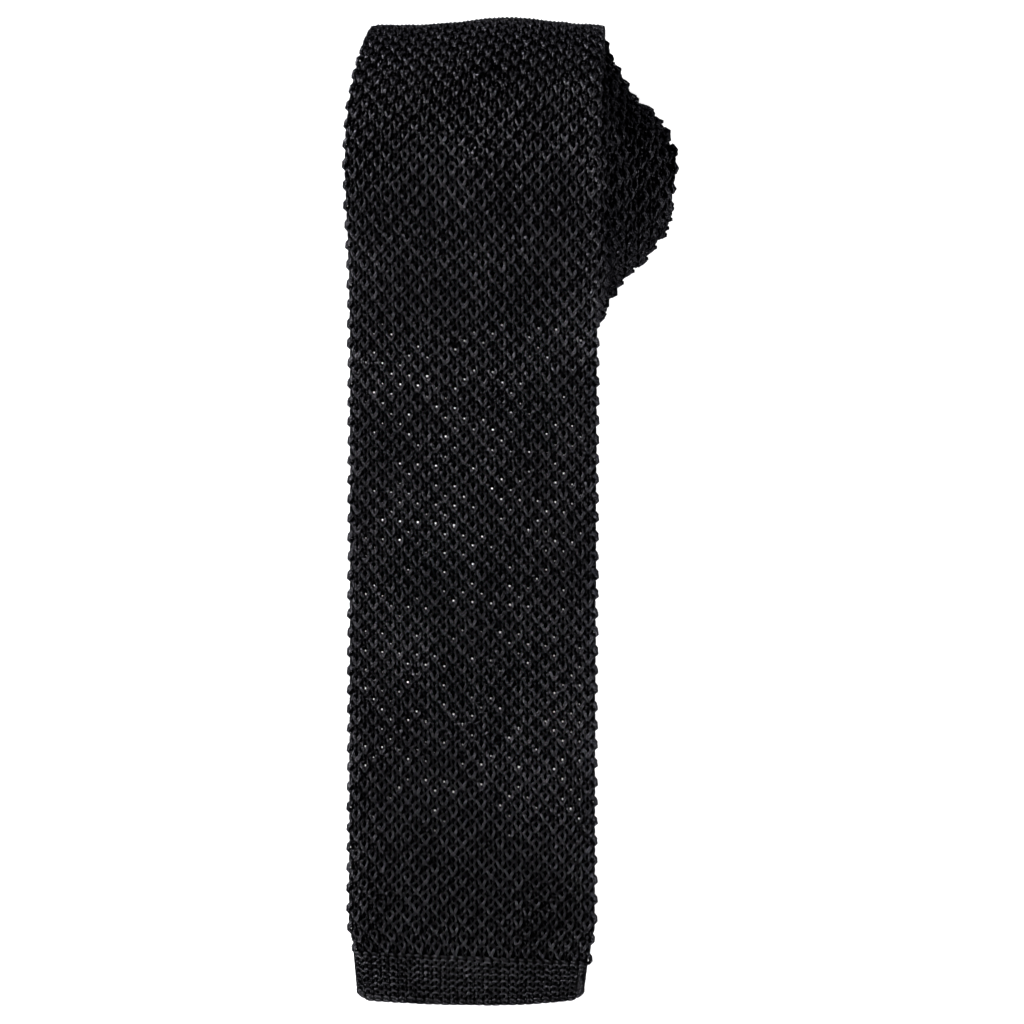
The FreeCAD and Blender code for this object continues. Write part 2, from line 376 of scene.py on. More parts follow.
def mesh_object(name, points, faces, uvs=None, painted_lit_shares=None):
    """A mesh from points and a list of face arrays, each with one number of corners.

    uvs hold a value pair for each corner of a face, and the last argument one value of painted light for each
    point, which goes to a second UV map.
    """
    mesh = bpy.data.meshes.new(name)
    corners = np.concatenate([part.ravel() for part in faces]).astype(np.int32)
    totals = np.concatenate([np.full(len(part), part.shape[1]) for part in faces]).astype(np.int32)
    starts = np.concatenate([[0], np.cumsum(totals)[:-1]]).astype(np.int32)
    mesh.vertices.add(len(points))
    mesh.vertices.foreach_set("co", np.ascontiguousarray(points, np.float32).ravel())
    mesh.loops.add(len(corners))
    mesh.loops.foreach_set("vertex_index", corners)
    mesh.polygons.add(len(totals))
    mesh.polygons.foreach_set("loop_start", starts)
    mesh.polygons.foreach_set("use_smooth", np.ones(len(totals), bool))
    if uvs is not None:
        layer = mesh.uv_layers.new(name="yarn")
        layer.data.foreach_set("uv", np.ascontiguousarray(uvs, np.float32).ravel())
        # The second UV map carries painted light: where it is low, the yarn's gloss is painted darker as
        # shade.
        layer = mesh.uv_layers.new(name="painted_lit_share")
        at_corners = np.stack([painted_lit_shares[corners], np.zeros(len(corners))], -1)
        layer.data.foreach_set("uv", np.ascontiguousarray(at_corners, np.float32).ravel())
    mesh.update(calc_edges=True)
    mesh.validate()
    piece = bpy.data.objects.new(name, mesh)
    bpy.context.scene.collection.objects.link(piece)
    return piece


def tube_faces(rows, ring):
    """The quads of a tube by row and by place round it, and the faces that close its two ends."""
    row = np.arange(rows - 1)[:, None]
    spot = np.arange(ring)[None, :]
    onward = (spot + 1) % ring
    here, there = row * ring, (row + 1) * ring
    quads = np.stack([here + spot, here + onward, there + onward, there + spot], -1)
    ends = np.stack([np.arange(ring)[::-1], (rows - 1) * ring + np.arange(ring)])
    return quads, ends


def unit(vectors):
    return vectors / np.maximum(np.linalg.norm(vectors, axis=-1, keepdims=True), 1e-12)


class Yarns:
    """Gathers tubes of yarn and makes one mesh of them, with each yarn's length and turn as a UV map and its
    painted light and shade as a second one.
    """

    def __init__(self):
        self.points, self.quads, self.caps, self.quad_uvs, self.painted_lit_shares = [], [], [], [], []
        self.count = 0

    def add(self, middles, out, radii, sides, closed, painted_lit_share=1.0):
        """middles and out are (yarns, steps, 3), radii and the painted light (yarns, steps), which is 1 at
        the surface and lower where the yarn gets painted shade.
        """
        yarns, steps = radii.shape
        if closed:
            ahead = np.roll(middles, -1, axis=1) - np.roll(middles, 1, axis=1)
        else:
            ahead = np.gradient(middles, axis=1)
        ahead = unit(ahead)
        aside = unit(np.cross(ahead, out))
        upright = np.cross(aside, ahead)
        angles = np.arange(sides) * 2 * math.pi / sides
        cosine, sine = np.cos(angles)[:, None], np.sin(angles)[:, None]
        ring = cosine * upright[:, :, None, :] + sine * aside[:, :, None, :]
        points = middles[:, :, None, :] + radii[:, :, None, None] * ring
        first = self.count + (np.arange(yarns) * steps * sides)[:, None, None]
        last = steps if closed else steps - 1
        step = np.arange(last)[None, :, None]
        side = np.arange(sides)[None, None, :]
        here = first + step * sides
        there = first + ((step + 1) % steps) * sides
        onward = (side + 1) % sides
        quads = np.stack([here + side, here + onward, there + onward, there + side], -1)
        pieces = np.linalg.norm(np.diff(middles, axis=1, prepend=middles[:, :1]), axis=-1)
        length = np.cumsum(pieces, axis=1)
        length = np.concatenate([length, length[:, -1:] + WALE / 10], axis=1)[:, :last + 1] / MM
        low = np.broadcast_to(length[:, :-1, None], quads.shape[:3])
        high = np.broadcast_to(length[:, 1:, None], quads.shape[:3])
        near = np.broadcast_to(side / sides, quads.shape[:3])
        far = near + 1 / sides
        uvs = np.stack([np.stack([low, near], -1), np.stack([low, far], -1),
                        np.stack([high, far], -1), np.stack([high, near], -1)], -2)
        self.points.append(points.reshape(-1, 3))
        self.painted_lit_shares.append(np.repeat(np.broadcast_to(painted_lit_share, radii.shape).ravel(), sides))
        self.quads.append(quads.reshape(-1, 4))
        self.quad_uvs.append(uvs.reshape(-1, 2))
        if not closed:
            spokes = np.arange(sides)
            starts = first[:, 0, 0][:, None]
            ends = starts + (steps - 1) * sides
            self.caps.append(starts + spokes[::-1])
            self.caps.append(ends + spokes)
        self.count += yarns * steps * sides

    def build(self, name):
        faces = [np.concatenate(self.quads)]
        uvs = [np.concatenate(self.quad_uvs)]
        by_sides = {}
        for cap in self.caps:
            by_sides.setdefault(cap.shape[1], []).append(cap)
        for caps in by_sides.values():
            caps = np.concatenate(caps)
            faces.append(caps)
            uvs.append(np.zeros((caps.size, 2)))
        painted_lit_shares = np.concatenate(self.painted_lit_shares)
        return mesh_object(name, np.concatenate(self.points), faces, np.concatenate(uvs), painted_lit_shares)


# ---------------------------------------------------------------- stitches


def noise(*keys):
    """A repeatable value from -1 to 1 for whole-number keys, the same in every piece that meets there."""
    mixed = np.zeros(np.broadcast(*keys).shape, np.uint64)
    with np.errstate(over="ignore"):
        for number, key in enumerate(keys):
            part = (np.asarray(key, np.int64) + 4096).astype(np.uint64)
            mixed = (mixed * np.uint64(6364136223846793005) + part * np.uint64(2862933555777941757)
                     + np.uint64(1442695040888963407 + number))
            mixed ^= mixed >> np.uint64(29)
    return (mixed >> np.uint64(11)).astype(float) / float(1 << 53) * 2 - 1


def drift(distance, across):
    """Slow waves in how the courses and wales lie."""
    along = 0.22 * np.sin(distance / (19 * MM) + 1.3) * np.sin(across / (17 * MM) + 0.4)
    along = along + 0.16 * np.sin(distance / (11 * MM) + across / (26 * MM))
    aside = 0.14 * np.sin(distance / (23 * MM) + 0.7) * np.cos(across / (13 * MM))
    return along * MM, aside * MM


def lie(around, distance):
    """Where a place of the knit lies after its slow drift, alike on the front and on the back behind it."""
    width = EDGE_WALE * WALE
    around = (around + 2 * width) % (4 * width) - 2 * width
    behind = np.abs(around) > width
    across = np.where(behind, np.sign(around) * 2 * width - around, around)
    wave, aside = drift(distance, across)
    share = np.clip((width - np.abs(across)) / (3 * WALE), 0.0, 1.0)
    slope = np.clip(PATH.at(distance)[2] / RAMP_ANGLE, 0.0, 1.0)
    slip = np.where(behind, BACK_SLIP * slope, 0.0)
    return around + np.where(behind, -aside, aside) * share, distance + (wave - slip) * share


def painted_dimming(along):
    """How much painted shade darkens the loops next to the hem, and how much painted shadow the first inner
    turns get beside the blade's edge.
    """
    hem_shade = 1 - smooth(*PAINTED_SHADE_HEM_FADE, along)
    edge_shadow = smooth(TURNS[1], TURNS[1] + PAINTED_SHADOW_EASE, along)
    edge_shadow = edge_shadow * (1 - smooth(TURNS[3] - PAINTED_SHADOW_EASE, TURNS[3], along))
    return np.maximum(PAINTED_SHADE_AT_HEM * hem_shade, PAINTED_SHADOW_BESIDE_EDGE * edge_shadow)


def stitch_courses(yarns, courses, wales, steps, sides, keep_pitch=False):
    """Courses of knit loops: every second stitch stands proud, and the ones that stand proud alternate.

    wales is a range counted from the middle of the front. A range of all of them closes round the tube.
    """
    closed = len(wales) == WALES_AROUND
    course = np.array(courses)[:, None, None]
    wale = np.array(wales)[None, :, None]
    turn = (np.arange(steps) / steps * 2 * math.pi - math.pi)[None, None, :]
    proud = np.where((course + wale) % 2 == 0, 1.0, 0.0)
    # body fades some of the noise out where a stitch meets the next one of its row
    body = smooth(0.0, 0.5 * math.pi, math.pi - np.abs(turn))
    leg = np.sin(turn) ** 2
    behind = 1.0 - FLATTER_BEHIND * (np.abs(wale) > EDGE_WALE)
    spread = (LEG_SPREAD + PROUD_SPREAD * proud + 0.02 * noise(course, wale, 1)) * WALE
    reach = (LOOP_REACH + PROUD_REACH * proud + 0.05 * noise(course, wale, 2)) * COURSE
    around = wale * WALE + turn / (2 * math.pi) * WALE + spread * np.sin(2 * turn)
    around = around + body * 0.07 * MM * noise(course, wale, 3)
    along = HEM_END + (course + COURSE_MIDDLE) * COURSE + reach * np.cos(turn)
    along = along + body * 0.10 * MM * noise(course, wale, 4)
    lift = PROUD_LIFT * proud - LOW_LIFT + 0.10 * noise(course, wale, 5)
    height = (-LOOP_ARCH * np.cos(2 * turn) + leg * lift) * behind * MM
    thick = YARN * (0.64 + leg * (0.18 + 0.26 * proud + 0.06 * noise(course, wale, 6)))
    # Painted shade: loops that lie low in the knit get less painted light, so they read as shaded, and the
    # dimming below darkens some of them more
    painted_lit_share = smooth(-0.45, 0.40, height / MM / behind) * (1 - painted_dimming(along))
    thick = thick * (1.06 + 0.26 * np.exp(-(np.abs(wale) - EDGE_WALE) ** 2 / 1.5))
    # Painted shade: where the wales keep their pitch, on the inner turns, the loops are painted darker still
    if keep_pitch:
        painted_lit_share = 0.12 + 0.55 * painted_lit_share
        thick = thick * 1.12
    shape = np.broadcast(around, along, height).shape
    around, along, height, thick, painted_lit_share = (np.broadcast_to(a, shape).reshape(shape[0], -1)
                                          for a in (around, along, height, thick, painted_lit_share))
    around, along = lie(around, along)
    points, out = place(around, along, height, keep_pitch)
    yarns.add(points, out, thick, sides, closed, painted_lit_share)


def course_range(low, high):
    """The whole courses whose middles lie between two distances along the tie."""
    first = math.ceil((low - HEM_END) / COURSE - COURSE_MIDDLE)
    last = math.ceil((high - HEM_END) / COURSE - COURSE_MIDDLE)
    return range(first, last)


def light_shows(wale, course):
    """Whether the knit is open enough at a proud stitch for the table to show through both its layers."""
    distance = HEM_END + course * COURSE
    across = wale * WALE
    wanted = OPEN_BETWEEN + np.zeros(np.broadcast(distance, across).shape)
    for middle, centre, half_width, half_length in OPEN_PATCHES:
        away = ((across / MM - middle) / half_width) ** 2 + ((distance / MM - centre) / half_length) ** 2
        wanted = np.maximum(wanted, OPEN_WITHIN * np.exp(-0.7 * away ** 2))
    wanted = wanted * smooth(*OPEN_FROM, distance) * (1 - smooth(*OPEN_TO, distance))
    return ((wale + course) % 2 == 0) & (noise(course, wale, 11) < 2 * wanted - 1)


# The core's columns where it has no holes, in wales each way from the middle of the front: close together
# round the edges, and on the turns whose faces show a few more over the face and the back
EDGE_PLACES = (10, 12, 13, 13.6, 14, 14.4, 15, 16, 18)
WIDE_PLACES = (1, 5, *EDGE_PLACES, 23, 27)


def core_grid(low, high, pierced, keep_pitch):
    """Where the core's columns and rows stand, in wales round the tube and distances along it."""
    if not pierced:
        half_ring = EDGE_PLACES if keep_pitch else WIDE_PLACES
        columns = np.array(sorted(side * place for side in (-1, 1) for place in half_ring))
        steps = max(2, int(round((high - low) / CORE_STEP)))
        return columns, np.linspace(low, high, steps + 1)
    holed = range(2 - EDGE_WALE, EDGE_WALE - 1)
    front = [wale + side * HOLE_WALES for wale in holed for side in (-1, 1)]
    edge = [EDGE_WALE + past for past in (-1, -0.4, 0, 0.4, 1)]
    back = [2 * EDGE_WALE - column for column in front]
    columns = np.array(front + back + edge + [-column for column in edge])
    columns = np.sort((columns + 2 * EDGE_WALE) % WALES_AROUND - 2 * EDGE_WALE)
    rows = [low, high]
    for course in course_range(low - COURSE, high + COURSE):
        for side in (-1, 1):
            row = HEM_END + (course + HOLE_CENTRE + side * HOLE_COURSES) * COURSE
            if low + 0.1 * MM < row < high - 0.1 * MM:
                rows.append(row)
    return columns, np.sort(rows)


def core_cloth(name, low, high, keep_pitch=False, pierced=False):
    """The dark body of the fabric under the loops: a closed flat tube, with small holes if it is pierced."""
    columns, distances = core_grid(low, high, pierced, keep_pitch)
    rows, ring = len(distances), len(columns)
    around, along = np.meshgrid(columns, distances)
    if pierced:
        around, along = vary_holes(around, along)
    around = around * WALE
    if pierced:
        around, along = lie(around, along)
    points, _ = place(around, along, -CORE_DEPTH, keep_pitch)
    quads, ends = tube_faces(rows, ring)
    faces = [quads.reshape(-1, 4), ends]
    if pierced:
        faces = pierce(quads, columns, distances, ends)
    return mesh_object(name, points.reshape(-1, 3), faces)


def vary_holes(around, along):
    """Moves each hole's corners a little, so that no two are alike. The back's stay behind the front's."""
    wale = np.round(around).astype(int)
    behind = np.abs(wale) > EDGE_WALE
    front_wale = np.where(behind, np.sign(wale) * 2 * EDGE_WALE - wale, wale)
    course = np.round((along - HEM_END) / COURSE - HOLE_CENTRE).astype(int)
    centre = HEM_END + (course + HOLE_CENTRE) * COURSE
    corner = np.abs(front_wale) < EDGE_WALE - 1
    corner &= np.abs(np.abs(around - wale) - HOLE_WALES) < 0.01
    corner &= np.abs(np.abs(along - centre) - HOLE_COURSES * COURSE) < 0.01 * MM
    size = np.where(corner, 0.86 + 0.42 * noise(course, front_wale, 14), 1.0)
    aside = np.where(corner, 0.10 * noise(course, front_wale, 12) * np.where(behind, -1, 1), 0.0)
    onward = np.where(corner, 0.12 * noise(course, front_wale, 13), 0.0)
    return wale + (around - wale) * size + aside, centre + (along - centre) * size + onward * COURSE


def pierce(quads, columns, distances, ends):
    """The core's faces with a hole through both layers at each open stitch, walled from front to back."""
    gap = (np.roll(columns, -1) - columns) % WALES_AROUND
    middle = columns + gap / 2
    wale = np.round(middle).astype(int)
    halfway = (distances[:-1] + distances[1:]) / 2
    course = np.round((halfway - HEM_END) / COURSE - HOLE_CENTRE).astype(int)
    narrow = gap < 3 * HOLE_WALES
    narrow &= np.abs(middle - wale) < 0.01
    spots = {wale[spot] % WALES_AROUND: spot for spot in np.nonzero(narrow)[0]}
    short = np.diff(distances) < 3 * HOLE_COURSES * COURSE
    in_front = narrow & (np.abs(wale) < EDGE_WALE - 1)
    is_open = short[:, None] & in_front[None, :] & light_shows(wale[None, :], course[:, None])
    keep = np.ones(quads.shape[:2], bool)
    walls = []
    for row, spot in zip(*np.nonzero(is_open)):
        behind = spots[(2 * EDGE_WALE - wale[spot]) % WALES_AROUND]
        keep[row, [spot, behind]] = False
        front, back = quads[row, spot], quads[row, behind][[1, 0, 3, 2]]
        for corner in range(4):
            after = (corner + 1) % 4
            walls.append([front[corner], front[after], back[after], back[corner]])
    return [quads[keep], np.array(walls, int).reshape(-1, 4), ends]


# ---------------------------------------------------------------- the hems


def hem_outline(across, half):
    """How far the hem's fold stands from the tip: a little convex, and rounded at its two corners."""
    share = np.clip(across / half, -1.0, 1.0)
    corner = 1 - np.sqrt(np.clip(1 - smooth(0.82, 1.0, np.abs(share)) ** 2, 0.0, 1.0))
    bow = (share - 0.15) ** 2 + 0.62 * smooth(0.35, 1.0, share)
    return HEM_START + (bow + 2.4 * corner) * MM


def hem_place(across, down, height, at_tail=False):
    """Points of a hem. down is 0 at its upper edge and 1 at the fold, and runs on to 2 up its back."""
    front = np.clip(down / (1 - HEM_FOLD), 0.0, 1.0)
    back = np.clip((down - 1 - HEM_FOLD) / (1 - HEM_FOLD), 0.0, 1.0)
    angle = np.clip((down - (1 - HEM_FOLD)) / (2 * HEM_FOLD), 0.0, 1.0) * math.pi
    layer = LAYER * 0.95
    reach = (layer + height) * np.sin(angle)
    up = (layer + height) * np.cos(angle)
    if at_tail:
        along = END - TAIL_HEM_DEPTH + (TAIL_HEM_DEPTH - layer - YARN) * (front - back)
        return carry(TAIL_MIDDLE + across, along + reach, up, 0 * along, np.cos(angle))
    top = HEM_END - TIP_SKEW * across
    bottom = hem_outline(across, HEM_WIDTH / 2) + layer + YARN
    along = top + (bottom - top) * (front - back)
    across = across * (1 + HEM_TAPER * (0.8 - front + back))
    return carry(HEM_SHIFT + across, along - reach, up, 0 * along, np.cos(angle))


def hem_rows(yarns, width, wales, at_tail=False):
    """Rows of plain arches across a hem, front, fold and back."""
    half = width / 2 - YARN
    steps = 12
    rows = np.arange(-0.3, 2 * HEM_ROWS + 1.3)[:, None] + 0.5
    turn = (np.arange(wales * steps + 1) / steps * 2 * math.pi - math.pi)[None, :]
    wale = np.floor((turn + math.pi) / (2 * math.pi)).astype(int)
    local = turn - wale * 2 * math.pi
    number = np.round(rows).astype(int)
    body = smooth(0.0, 0.6 * math.pi, math.pi - np.abs(local))
    pitch = 2 * half / wales
    across = -half + (turn + math.pi) / (2 * math.pi) * pitch + 0.20 * pitch * np.sin(2 * local)
    across = across + 0.05 * MM * body * noise(number, wale, 7)
    down = (rows - HEM_ARCH * np.cos(local) + 0.05 * body * noise(number, wale, 8)) / (HEM_ROWS + 1)
    height = (0.26 * np.cos(local) - 0.06 + 0.05 * body * noise(number, wale, 9)) * MM
    # Painted shade: the hem's arches get only part of the painted light, and least where they dip low
    painted_lit_share = HEM_PAINTED_LIGHT * smooth(-0.34, 0.22, height / MM)
    thick = HEM_YARN * (0.82 + 0.14 * body + 0.16 * np.cos(local))
    thick, across = np.broadcast_to(thick, down.shape), np.broadcast_to(across, down.shape)
    points, _ = hem_place(across, down, height, at_tail)
    ahead, _ = hem_place(across, down, height + 0.05 * MM, at_tail)
    yarns.add(points, unit(ahead - points), thick, 6, False, np.broadcast_to(painted_lit_share, down.shape))


def hem_core(name, width, at_tail=False):
    """The dark body under a hem's arches."""
    rows, ring = 57, 41
    half = width / 2 - YARN * 0.7
    across, down = np.meshgrid(np.linspace(-half, half, rows), np.linspace(-0.06, 2.06, ring), indexing="ij")
    points, _ = hem_place(across, down, 0 * down - HEM_CORE_DEPTH, at_tail)
    quads, ends = tube_faces(rows, ring)
    return mesh_object(name, points.reshape(-1, 3), [quads.reshape(-1, 4), ends])


# ---------------------------------------------------------------- materials


def material(name, color, roughness, specular=0.5):
    made = bpy.data.materials.new(name)
    made.use_nodes = True
    shader = made.node_tree.nodes["Principled BSDF"]
    shader.inputs["Base Color"].default_value = (*color, 1)
    shader.inputs["Roughness"].default_value = roughness
    shader.inputs["Specular IOR Level"].default_value = specular
    return made, made.node_tree.nodes, made.node_tree.links, shader


def math_node(nodes, links, operation, first, second=None):
    node = nodes.new("ShaderNodeMath")
    node.operation = operation
    for socket, value in zip(node.inputs, (first, second)):
        if value is None:
            continue
        if isinstance(value, (int, float)):
            socket.default_value = value
        else:
            links.new(value, socket)
    return node.outputs[0]


def noise_node(nodes, links, vector, scale, detail=3.0):
    node = nodes.new("ShaderNodeTexNoise")
    node.inputs["Scale"].default_value = scale
    node.inputs["Detail"].default_value = detail
    links.new(vector, node.inputs["Vector"])
    return node.outputs["Fac"]


def color_ramp(nodes, links, value, stops):
    node = nodes.new("ShaderNodeValToRGB")
    ramp = node.color_ramp
    ramp.elements[0].position, ramp.elements[0].color = stops[0][0], (*stops[0][1], 1)
    ramp.elements[1].position, ramp.elements[1].color = stops[-1][0], (*stops[-1][1], 1)
    for position, color in stops[1:-1]:
        ramp.elements.new(position).color = (*color, 1)
    links.new(value, node.inputs[0])
    return node.outputs[0]


# The yarn's gloss from its dullest to its brightest filaments
YARN_GLOSS = [(0.35, (0.012, 0.012, 0.0135)), (0.58, (0.034, 0.0335, 0.037)), (0.80, (0.080, 0.079, 0.085))]


def yarn_material():
    """Black spun yarn: two plies that twist, fine filaments, a narrow gloss and slow changes of tone, with
    its gloss painted darker as shade where the painted light map is low.
    """
    made, nodes, links, shader = material("black_yarn", (0.04, 0.04, 0.05), 0.35, 0.5)
    shader.inputs["Metallic"].default_value = 1.0
    shader.inputs["Specular Tint"].default_value = (0.06, 0.06, 0.06, 1)
    uv = nodes.new("ShaderNodeUVMap")
    uv.uv_map = "yarn"
    split = nodes.new("ShaderNodeSeparateXYZ")
    links.new(uv.outputs[0], split.inputs[0])
    along, around = split.outputs[0], split.outputs[1]
    lay = math_node(nodes, links, "MULTIPLY", along, 0.9)
    turn = math_node(nodes, links, "ADD", lay, math_node(nodes, links, "MULTIPLY", around, 2.0))
    plies = math_node(nodes, links, "SINE", math_node(nodes, links, "MULTIPLY", turn, 2 * math.pi))
    fine = nodes.new("ShaderNodeCombineXYZ")
    links.new(math_node(nodes, links, "MULTIPLY", along, 0.5), fine.inputs[0])
    links.new(math_node(nodes, links, "MULTIPLY", turn, 1.3), fine.inputs[1])
    filaments = noise_node(nodes, links, fine.outputs[0], 3.0, 1.0)
    height = math_node(nodes, links, "ADD", math_node(nodes, links, "MULTIPLY", plies, 0.28), filaments)
    bump = nodes.new("ShaderNodeBump")
    bump.inputs["Strength"].default_value = 1.0
    bump.inputs["Distance"].default_value = 0.20 * MM
    links.new(height, bump.inputs["Height"])
    links.new(bump.outputs[0], shader.inputs["Normal"])
    where = nodes.new("ShaderNodeTexCoord").outputs["Object"]
    patches = noise_node(nodes, links, where, 55.0, 2.0)
    shade = math_node(nodes, links, "ADD", math_node(nodes, links, "MULTIPLY", filaments, 0.75),
                      math_node(nodes, links, "MULTIPLY", patches, 0.40))
    gloss = color_ramp(nodes, links, shade, YARN_GLOSS)
    # Painted shade: the gloss colour is scaled by the painted light map, so low loops, the inner turns and
    # the knit next to the hem look shaded
    surface = nodes.new("ShaderNodeUVMap")
    surface.uv_map = "painted_lit_share"
    painted_light_parts = nodes.new("ShaderNodeSeparateXYZ")
    links.new(surface.outputs[0], painted_light_parts.inputs[0])
    shown = math_node(nodes, links, "ADD", painted_light_parts.outputs[0], 0.22)
    gloss_with_painted_shade = nodes.new("ShaderNodeVectorMath")
    gloss_with_painted_shade.operation = "SCALE"
    links.new(gloss, gloss_with_painted_shade.inputs[0])
    links.new(shown, gloss_with_painted_shade.inputs["Scale"])
    links.new(gloss_with_painted_shade.outputs[0], shader.inputs["Base Color"])
    rough = math_node(nodes, links, "ADD", math_node(nodes, links, "MULTIPLY", filaments, 0.16), 0.14)
    links.new(rough, shader.inputs["Roughness"])
    return made


def core_shade_material():
    """The yarn that lies behind the loops, with the ribbed look of the loops' backs, made matt and near black
    as painted shade in the gaps between the loops.
    """
    made, nodes, links, shader = material("fabric_core_painted_shade", (0.0006, 0.0006, 0.0008), 1.0, 0.0)
    where = nodes.new("ShaderNodeTexCoord").outputs["Object"]
    lumps = noise_node(nodes, links, where, 900.0, 2.0)
    shades = [(0.3, (0.0003, 0.0003, 0.0004)), (0.7, (0.0009, 0.0009, 0.0012))]
    links.new(color_ramp(nodes, links, lumps, shades), shader.inputs["Base Color"])
    bump = nodes.new("ShaderNodeBump")
    bump.inputs["Strength"].default_value = 0.6
    bump.inputs["Distance"].default_value = 0.3 * MM
    links.new(lumps, bump.inputs["Height"])
    links.new(bump.outputs[0], shader.inputs["Normal"])
    return made


def woven_material(name, threads, roughness):
    """Black woven ribbon, satin or thread: fine ribs, with threads of them to the metre, and a soft sheen."""
    made, nodes, links, shader = material(name, (0.01, 0.01, 0.012), roughness, 0.4)
    where = nodes.new("ShaderNodeTexCoord").outputs["Object"]
    ribs = nodes.new("ShaderNodeTexWave")
    ribs.bands_direction = "Y"
    ribs.inputs["Scale"].default_value = threads / 6.28
    ribs.inputs["Distortion"].default_value = 1.5
    links.new(where, ribs.inputs["Vector"])
    shades = [(0.2, (0.005, 0.005, 0.006)), (0.8, (0.018, 0.018, 0.022))]
    links.new(color_ramp(nodes, links, ribs.outputs["Fac"], shades), shader.inputs["Base Color"])
    bump = nodes.new("ShaderNodeBump")
    bump.inputs["Strength"].default_value = 0.5
    bump.inputs["Distance"].default_value = 0.08 * MM
    links.new(ribs.outputs["Fac"], bump.inputs["Height"])
    links.new(bump.outputs[0], shader.inputs["Normal"])
    return made


def floor_material():
    """White light table: it glows faintly all over, so the tie throws next to no shadow on it."""
    made, nodes, links, shader = material("floor", (0.9, 0.9, 0.9), 0.8, 0.2)
    where = nodes.new("ShaderNodeTexCoord").outputs["Object"]
    shades = [(0.3, (0.88, 0.88, 0.88)), (0.7, (0.91, 0.91, 0.91))]
    cloudy = noise_node(nodes, links, where, 9.0)
    links.new(color_ramp(nodes, links, cloudy, shades), shader.inputs["Base Color"])
    shader.inputs["Emission Color"].default_value = (1, 1, 1, 1)
    shader.inputs["Emission Strength"].default_value = 0.9
    return made


YARN_LOOK = yarn_material()
CORE_SHADE_LOOK = core_shade_material()


# ---------------------------------------------------------------- fabric pieces


def fold_points(distance, spread):
    """The two ends of a fold's bend on the path."""
    ends = []
    for where in (distance - spread, distance + spread):
        y, z, _ = PATH.at(np.array([where]))
        ends.append((BLADE_X, float(y[0]), float(z[0])))
    return ends


def attach(piece, bodies):
    if len(bodies) == 1:
        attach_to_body(piece, bodies[0])
    else:
        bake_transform(piece)


def stretch(name, low, high, bodies, nodes, sets, keep_pitch, pierced=False):
    """A stretch of the tie: its dark core and its loops.

    sets lists ranges of wales, each with its loops' steps and sides.
    """
    core = core_cloth(name + "_cloth", low, high, keep_pitch, pierced)
    core.data.materials.append(CORE_SHADE_LOOK)
    yarns = Yarns()
    courses = course_range(low, high)
    for wales, steps, sides in sets:
        stitch_courses(yarns, courses, wales, steps, sides, keep_pitch)
    loops = yarns.build(name + "_loops")
    loops.data.materials.append(YARN_LOOK)
    middle, half = edges(np.linspace(low, high, 9))
    for piece in (core, loops):
        attach(piece, bodies)
    if nodes:
        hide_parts(*nodes)


def blade():
    """The drawn-out blade, in four stretches that each span one fold."""
    lift = LIFT - FOLD_LIFT_BACK
    front = range(-EDGE_WALE - 1, EDGE_WALE + 2)
    right_back = range(EDGE_WALE + 2, 2 * EDGE_WALE + 1)
    left_back = range(1 - 2 * EDGE_WALE, -EDGE_WALE - 1)
    sets = [(front, 12, 6), (right_back, 8, 5), (left_back, 8, 5)]
    cuts = [HEM_END, (FOLD_TIP + FOLD_LOWER) / 2, (FOLD_LOWER + FOLD_UPPER) / 2, (FOLD_UPPER + lift) / 2,
            TURNS[0] + ROLL_FLAT]
    bodies = ["blade_end", "blade_lower", "blade_middle", "blade_upper", "roll"]
    folds = [FOLD_TIP, FOLD_LOWER, FOLD_UPPER, lift]
    nodes = [["front_blade_end"], ["front_blade_lower"], ["front_blade_middle"], ["front_blade_upper"]]
    hem_nodes = ["front_hem", "front_hem_turning", "front_hem_stitches"]
    folded = hem("front_hem", "blade_end", HEM_WIDTH, HEM_WALES, hem_nodes)
    for number in range(4):
        bend = fold_points(folds[number], FOLD_SPREAD)
        stretch(f"blade_{number + 1}", cuts[number], cuts[number + 1], bodies[number:number + 2],
                nodes[number], sets, False, True)


def outer_turn():
    """The outside turn of the roll, whose whole face shows."""
    wales = range(-EDGE_WALE - 3, EDGE_WALE + 2)
    half_way = TURNS[0] + ROLL_FLAT + math.pi * RADII[0]
    stretch("crest", TURNS[0] + ROLL_FLAT, half_way, ["roll"],
            ["front_blade_crest"], [(wales, 12, 6)], False)
    stretch("turn_1", half_way, TURNS[1], ["roll"],
            ["front_blade_turn_1"], [(wales, 10, 6)], False)


def inner_turns():
    """The turns inside the roll. Only their edges and what stands past the next turn show."""
    right = range(EDGE_WALE - 4, EDGE_WALE + 3)
    groups = [
        ("roll", 1, 3, ["front_blade_turn_2", "neck_turn_1"], 6),
        ("middle_turns", 3, 5, ["neck_turn_2", "neck_turn_3"], 5),
        ("fifth_turn", 5, 6, ["tail_turn_1"], 3),
        ("sixth_turn", 6, 7, ["tail_turn_2"], 3),
        ("seventh_turn", 7, 8, ["tail_turn_3"], 3),
        ("core", 8, 10, ["tail_turn_4", "tail_turn_5"], 3),
    ]
    start = TURNS[1]
    for number, (body, first, last, nodes, depth) in enumerate(groups):
        left = range(-EDGE_WALE - depth, -EDGE_WALE + 3)
        sets = [(right, 9, 5), (left, 9, 5)]
        if last == 10:
            hem_nodes = ["tail_hem", "tail_hem_turning"]
            folded = hem("tail_hem", body, TAIL_HEM_WIDTH, TAIL_HEM_WALES, hem_nodes, True)
            stop = END - TAIL_HEM_DEPTH
            stretch(f"{body}_ring", start, stop, [body], nodes, sets, True)
            return
        quarter = math.pi / 2 * (RADII[last] + TURN_PITCH)
        before = TURNS[last] - quarter
        after = TURNS[last] + ROLL_FLAT + math.pi / 2 * RADII[last]
        stretch(f"{body}_ring", start, before, [body], nodes, sets, True)
        stretch(f"{body}_join", before, after, [body, groups[number + 1][0]], [], sets, True)
        start = after


